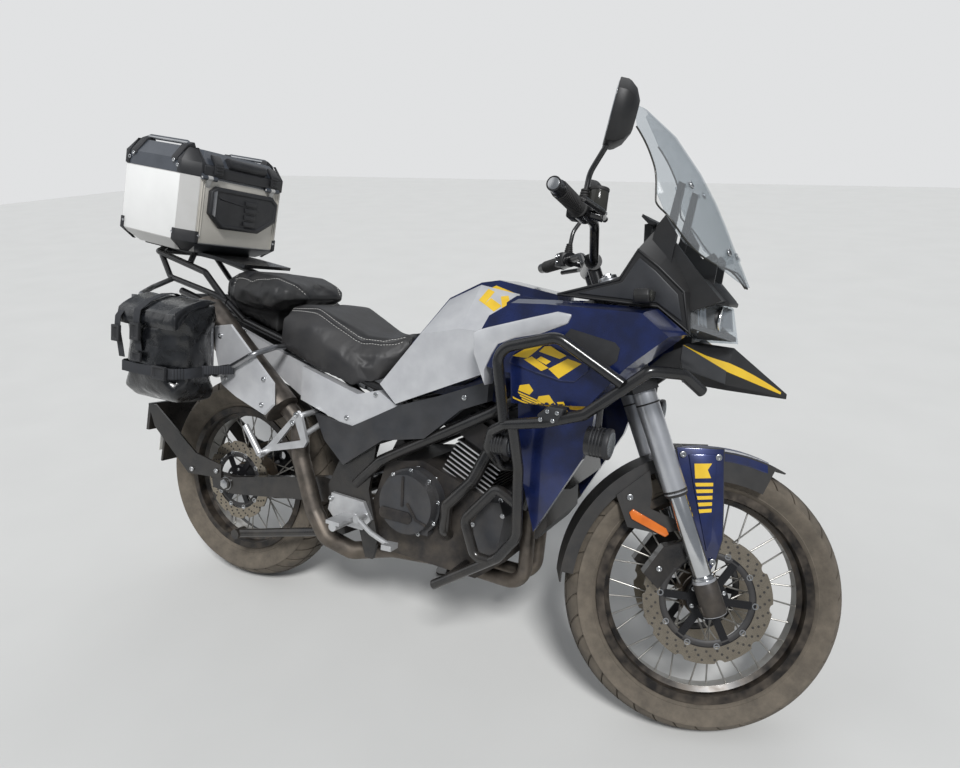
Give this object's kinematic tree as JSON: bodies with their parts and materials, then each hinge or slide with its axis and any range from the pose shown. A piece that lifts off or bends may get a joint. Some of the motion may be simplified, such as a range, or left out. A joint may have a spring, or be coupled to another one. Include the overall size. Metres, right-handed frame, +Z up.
{
  "type": "adventure touring motorcycle",
  "caption": "Two-wheeled adventure motorcycle leaning on its side stand, with crash bars, spoked wheels, tall windscreen, roll-top saddlebags and a boxy aluminium top case.",
  "frame": {"origin": "on the floor below the middle of the parked machine's bounding box", "axes": "+X forward along the machine, +Y to the rider's left, +Z up from the floor"},
  "size_m": [2.1621, 0.8966, 1.471],
  "materials": {
    "tyre": "dusty rubber",
    "rim_black": "satin black, steel spokes",
    "disc_steel": "machined",
    "fork_silver": "silver painted tubes over chrome",
    "black_metal": "satin black powder coat",
    "chain_steel": "oiled",
    "engine_grey": "cast, dark",
    "cover_grey": "satin dark grey",
    "exhaust_steel": "heat-dulled steel",
    "silver_paint": "metallic silver lacquer",
    "blue_paint": "metallic dark blue lacquer",
    "dark_plastic": "grained",
    "seat_vinyl": "grained vinyl",
    "clear_screen": "clear polycarbonate",
    "lamp_lens": "clear lens",
    "case_metal": "white-grey anodised",
    "lid_metal": "dark grey",
    "bag_fabric": "coated cloth, glossy",
    "cast_silver": "cast, satin",
    "number_plate": "blank"
  },
  "bodies": {
    "chassis": {"frame": "black_metal", "swingarm": "black_metal", "rear_shock": "black_metal", "drive_chain": "chain_steel", "engine": "engine_grey", "engine_covers": "cover_grey", "radiator": "black_metal", "exhaust_pipe": "exhaust_steel", "silencer": "exhaust_steel", "silencer_shield": "silver_paint", "fuel_tank": "blue_paint", "tank_side_panels": "silver_paint", "shrouds": "blue_paint", "engine_chin": "dark_plastic", "side_panels": "dark_plastic", "rider_seat": "seat_vinyl", "passenger_seat": "seat_vinyl", "tail_panels": "silver_paint", "tail_unit": "dark_plastic", "rear_hugger": "black_metal", "blank_plate": "number_plate", "headlamp": "lamp_lens", "headlamp_cowl": "dark_plastic", "beak": "dark_plastic", "instrument_panel": "dark_plastic", "windscreen": "clear_screen", "crash_bar_right": "black_metal", "crash_bar_left": "black_metal", "rider_footrests": "cast_silver", "passenger_footrests": "cast_silver", "rear_rack": "black_metal", "pannier_racks": "disc_steel", "saddlebags": "bag_fabric", "top_case_body": "case_metal"},
    "steering": {"fork_legs": "fork_silver", "fork_clamps": "black_metal", "handlebar": "black_metal", "mirrors": "dark_plastic", "front_mudguard": "dark_plastic", "front_calipers": "black_metal"},
    "front_wheel": {"front_tyre": "tyre", "front_rim": "rim_black", "front_discs": "disc_steel"},
    "rear_wheel": {"rear_tyre": "tyre", "rear_rim": "rim_black", "rear_disc_and_sprocket": "disc_steel"},
    "side_stand": {"side_stand": "black_metal"},
    "centre_stand": {"centre_stand": "black_metal"},
    "top_case_lid": {"top_case_lid": "lid_metal"}
  },
  "joints": [
    {"name": "steering", "type": "hinge", "parent": "chassis", "child": "steering", "pos_m": [0.47014, 0.01475, 0.85514], "axis": [-0.4179, 0.2152, 0.8827], "range_deg": [-48, 0]},
    {"name": "front_wheel_spin", "type": "hinge", "parent": "steering", "child": "front_wheel", "pos_m": [0.77083, -0.10003, 0.30895], "axis": [-0.3695, 0.8473, -0.3815], "continuous": true},
    {"name": "rear_wheel_spin", "type": "hinge", "parent": "chassis", "child": "rear_wheel", "pos_m": [-0.64671, -0.11546, 0.32098], "axis": [0, 0.9715, -0.2368], "continuous": true},
    {"name": "top_case_lid_hinge", "type": "hinge", "parent": "chassis", "child": "top_case_lid", "pos_m": [-0.74034, 0.10294, 1.21689], "axis": [0, 0.9715, -0.2368], "range_deg": [0, 95]},
    {"name": "side_stand_fold", "type": "hinge", "parent": "chassis", "child": "side_stand", "pos_m": [-0.08706, 0.03338, 0.21374], "axis": [0.2857, 0.918, 0.2749], "range_deg": [0, 100]},
    {"name": "centre_stand_fold", "type": "hinge", "parent": "chassis", "child": "centre_stand", "pos_m": [-0.25203, -0.13016, 0.26068], "axis": [0, -0.9715, 0.2368], "range_deg": [0, 84]}
  ]
}
